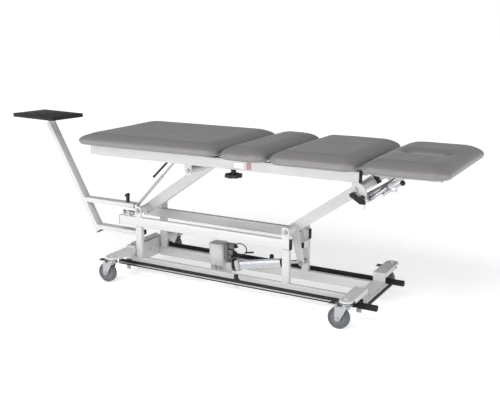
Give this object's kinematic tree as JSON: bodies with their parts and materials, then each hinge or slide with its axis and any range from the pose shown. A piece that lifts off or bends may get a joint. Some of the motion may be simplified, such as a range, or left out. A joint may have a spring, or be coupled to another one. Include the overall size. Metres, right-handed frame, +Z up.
{
  "type": "treatment couch",
  "caption": "Height-adjustable upholstered treatment couch with sliding leg section, tilting head section with face slot, bar-operated lift and a foot-end traction stand.",
  "frame": {"origin": "on the floor, under the centre of the overall bounding box", "axes": "+X along the length towards the head end, +Y across the couch, +Z up"},
  "size_m": [2.5124, 0.686, 0.822],
  "materials": {
    "upholstery": "smooth vinyl-coated upholstery, satin",
    "frame_cream": "powder coat, semi-gloss",
    "black_metal": "powder coat, satin",
    "black_plastic": "fine grain, satin",
    "motor_grey": "moulded, matt",
    "zinc": "bright zinc plate",
    "alloy": "anodised extrusion",
    "wheel_grey": "moulded non-marking tread"
  },
  "bodies": {
    "base": {"base_rail_near": "frame_cream", "base_rail_far": "frame_cream", "head_crossmember": "frame_cream", "foot_crossmember": "frame_cream", "post_foot_near": "frame_cream", "post_foot_far": "frame_cream", "post_head_near": "frame_cream", "post_head_far": "frame_cream", "middle_rail_near": "frame_cream", "middle_rail_far": "frame_cream", "pivot_rod_foot_lower": "zinc", "pivot_rod_head_lower": "zinc", "actuator_mount": "frame_cream", "stand_frame": "frame_cream", "stand_clamp": "zinc"},
    "stand_platform": {"stand_platform": "black_plastic"},
    "stand_knob": {"stand_knob": "black_plastic"},
    "drive_arm": {"drive_arm": "frame_cream"},
    "idler_arm": {"idler_arm": "frame_cream"},
    "top": {"top_rail_near": "frame_cream", "top_rail_far": "frame_cream", "top_cross_foot": "frame_cream", "top_cross_middle": "frame_cream", "top_cross_head": "frame_cream", "pivot_rod_foot_upper": "zinc", "pivot_rod_head_upper": "zinc", "strut_shaft": "zinc", "pad_lumbar": "upholstery", "pad_back": "upholstery"},
    "leg_section": {"pad_leg": "upholstery"},
    "head_section": {"pad_head": "upholstery", "head_frame": "frame_cream"},
    "lock_strut": {"lock_strut_body": "zinc"},
    "lock_strut_inner": {"lock_strut_rod": "zinc"},
    "gas_spring": {"gas_spring_rod": "zinc"},
    "gas_spring_outer": {"gas_spring_body": "zinc"},
    "release_handle": {"release_handle": "black_plastic"},
    "slide_knob": {"slide_knob": "black_plastic"},
    "slide_lever": {"slide_lever": "black_plastic"},
    "limit_tube": {"limit_tube": "zinc"},
    "limit_rod": {"limit_rod": "zinc"},
    "actuator_rod": {"actuator_rod": "zinc"},
    "actuator": {"actuator_tube": "alloy", "actuator_motor": "motor_grey", "actuator_lead": "black_plastic"},
    "activation_frame": {"activation_bar_near": "black_metal", "activation_bar_far": "black_metal", "activation_bar_cross": "black_metal"},
    "caster_foot_near": {"caster_fork_foot_near": "zinc"},
    "wheel_foot_near": {"caster_wheel_foot_near": "wheel_grey"},
    "pedal_foot_near": {"caster_brake_foot_near": "zinc"},
    "caster_foot_far": {"caster_fork_foot_far": "zinc"},
    "wheel_foot_far": {"caster_wheel_foot_far": "wheel_grey"},
    "pedal_foot_far": {"caster_brake_foot_far": "zinc"},
    "caster_head_near": {"caster_fork_head_near": "zinc"},
    "wheel_head_near": {"caster_wheel_head_near": "wheel_grey"},
    "pedal_head_near": {"caster_brake_head_near": "zinc"},
    "caster_head_far": {"caster_fork_head_far": "zinc"},
    "wheel_head_far": {"caster_wheel_head_far": "wheel_grey"},
    "pedal_head_far": {"caster_brake_head_far": "zinc"}
  },
  "joints": [
    {"name": "lift", "type": "hinge", "parent": "base", "child": "drive_arm", "pos_m": [0.4372, 0, 0.348], "axis": [0, -1, 0], "range_deg": [-35, 34.4]},
    {"name": "top_level", "type": "hinge", "parent": "drive_arm", "child": "top", "pos_m": [0.82089, 0, 0.61666], "axis": [0, -1, 0], "range_deg": [-34.5, 35.1]},
    {"name": "idler_swing", "type": "hinge", "parent": "base", "child": "idler_arm", "pos_m": [-0.4338, 0, 0.348], "axis": [0, -1, 0], "range_deg": [-35.1, 34.5]},
    {"name": "actuator_pin", "type": "hinge", "parent": "drive_arm", "child": "actuator_rod", "pos_m": [0.4792, 0, 0.176], "axis": [0, -1, 0], "range_deg": [-34.5, 35.1]},
    {"name": "actuator_stroke", "type": "slide", "parent": "actuator_rod", "child": "actuator", "axis": [-0.9794, 0, -0.2019], "range_m": [-0.10317, 0.10142]},
    {"name": "limit_swing", "type": "hinge", "parent": "base", "child": "limit_tube", "pos_m": [-0.4488, -0.101, 0.3745], "axis": [0, -1, 0], "range_deg": [-45.3, 44.52]},
    {"name": "limit_stroke", "type": "slide", "parent": "limit_tube", "child": "limit_rod", "axis": [0.6909, 0, 0.723], "range_m": [-0.04975, 0.04891]},
    {"name": "head_tilt", "type": "hinge", "parent": "top", "child": "head_section", "pos_m": [0.8652, 0, 0.697], "axis": [0, -1, 0], "range_deg": [-30, 15]},
    {"name": "lock_swing", "type": "hinge", "parent": "top", "child": "lock_strut", "pos_m": [0.8672, -0.172, 0.566], "axis": [0, -1, 0], "range_deg": [-17.65, 8.88]},
    {"name": "lock_stroke", "type": "slide", "parent": "lock_strut", "child": "lock_strut_inner", "axis": [0.7867, 0, 0.6173], "range_m": [-0.05766, 0.02908]},
    {"name": "gas_swing", "type": "hinge", "parent": "top", "child": "gas_spring", "pos_m": [0.8522, -0.108, 0.556], "axis": [0, -1, 0], "range_deg": [-10.96, 5.53]},
    {"name": "gas_stroke", "type": "slide", "parent": "gas_spring", "child": "gas_spring_outer", "axis": [0.75, 0, 0.6614], "range_m": [-0.05359, 0.02704]},
    {"name": "head_release", "type": "hinge", "parent": "top", "child": "release_handle", "pos_m": [0.8572, -0.237, 0.586], "axis": [0, 1, 0], "range_deg": [0, 18], "stiffness_Nm_per_rad": 1.2, "springref_deg": -20.05},
    {"name": "leg_glide", "type": "slide", "parent": "top", "child": "leg_section", "axis": [-1, 0, 0], "range_m": [0, 0.07]},
    {"name": "leg_release", "type": "hinge", "parent": "leg_section", "child": "slide_lever", "pos_m": [-0.1778, -0.158, 0.668], "axis": [0, 1, 0], "range_deg": [0, 18], "stiffness_Nm_per_rad": 1, "springref_deg": -22.92},
    {"name": "glide_lock", "type": "hinge", "parent": "top", "child": "slide_knob", "pos_m": [0.2012, -0.2043, 0.616], "axis": [0, 0, 1], "continuous": true},
    {"name": "stand_lock", "type": "hinge", "parent": "base", "child": "stand_knob", "pos_m": [-0.5368, -0.0721, 0.396], "axis": [0, 0, 1], "continuous": true},
    {"name": "platform_swivel", "type": "hinge", "parent": "base", "child": "stand_platform", "pos_m": [-1.0548, -0.0721, 0.802], "axis": [0, 0, 1], "range_deg": [-90, 90]},
    {"name": "activation_press", "type": "slide", "parent": "base", "child": "activation_frame", "axis": [0, 0, 1], "range_m": [-0.006, 0.006], "stiffness_N_per_m": 12000, "springref_m": 0.0038},
    {"name": "swivel_foot_near", "type": "hinge", "parent": "base", "child": "caster_foot_near", "pos_m": [-0.4708, -0.304, 0.112], "axis": [0, 0, 1], "continuous": true},
    {"name": "roll_foot_near", "type": "hinge", "parent": "caster_foot_near", "child": "wheel_foot_near", "pos_m": [-0.5038, -0.304, 0.0508], "axis": [0, 1, 0], "continuous": true},
    {"name": "brake_foot_near", "type": "hinge", "parent": "caster_foot_near", "child": "pedal_foot_near", "pos_m": [-0.5106, -0.304, 0.111], "axis": [0, -1, 0], "range_deg": [0, 10]},
    {"name": "swivel_foot_far", "type": "hinge", "parent": "base", "child": "caster_foot_far", "pos_m": [-0.4708, 0.304, 0.112], "axis": [0, 0, 1], "continuous": true},
    {"name": "roll_foot_far", "type": "hinge", "parent": "caster_foot_far", "child": "wheel_foot_far", "pos_m": [-0.5038, 0.304, 0.0508], "axis": [0, 1, 0], "continuous": true},
    {"name": "brake_foot_far", "type": "hinge", "parent": "caster_foot_far", "child": "pedal_foot_far", "pos_m": [-0.5106, 0.304, 0.111], "axis": [0, -1, 0], "range_deg": [0, 10]},
    {"name": "swivel_head_near", "type": "hinge", "parent": "base", "child": "caster_head_near", "pos_m": [0.8292, -0.304, 0.112], "axis": [0, 0, 1], "continuous": true},
    {"name": "roll_head_near", "type": "hinge", "parent": "caster_head_near", "child": "wheel_head_near", "pos_m": [0.7962, -0.304, 0.0508], "axis": [0, 1, 0], "continuous": true},
    {"name": "brake_head_near", "type": "hinge", "parent": "caster_head_near", "child": "pedal_head_near", "pos_m": [0.7894, -0.304, 0.111], "axis": [0, -1, 0], "range_deg": [0, 10]},
    {"name": "swivel_head_far", "type": "hinge", "parent": "base", "child": "caster_head_far", "pos_m": [0.8292, 0.304, 0.112], "axis": [0, 0, 1], "continuous": true},
    {"name": "roll_head_far", "type": "hinge", "parent": "caster_head_far", "child": "wheel_head_far", "pos_m": [0.7962, 0.304, 0.0508], "axis": [0, 1, 0], "continuous": true},
    {"name": "brake_head_far", "type": "hinge", "parent": "caster_head_far", "child": "pedal_head_far", "pos_m": [0.7894, 0.304, 0.111], "axis": [0, -1, 0], "range_deg": [0, 10]}
  ],
  "couplings": [
    {"joint": "top_level", "follows": "lift", "ratio": -1},
    {"joint": "idler_swing", "follows": "lift", "ratio": 1},
    {"joint": "actuator_pin", "follows": "lift", "ratio": -1},
    {"joint": "actuator_stroke", "follows": "lift", "m_per_rad": 0.16726},
    {"joint": "limit_swing", "follows": "lift", "ratio": 1.2884},
    {"joint": "limit_stroke", "follows": "lift", "m_per_rad": 0.0798},
    {"joint": "lock_swing", "follows": "head_tilt", "ratio": 0.585},
    {"joint": "lock_stroke", "follows": "head_tilt", "m_per_rad": 0.10917},
    {"joint": "gas_swing", "follows": "head_tilt", "ratio": 0.36196},
    {"joint": "gas_stroke", "follows": "head_tilt", "m_per_rad": 0.10139}
  ]
}
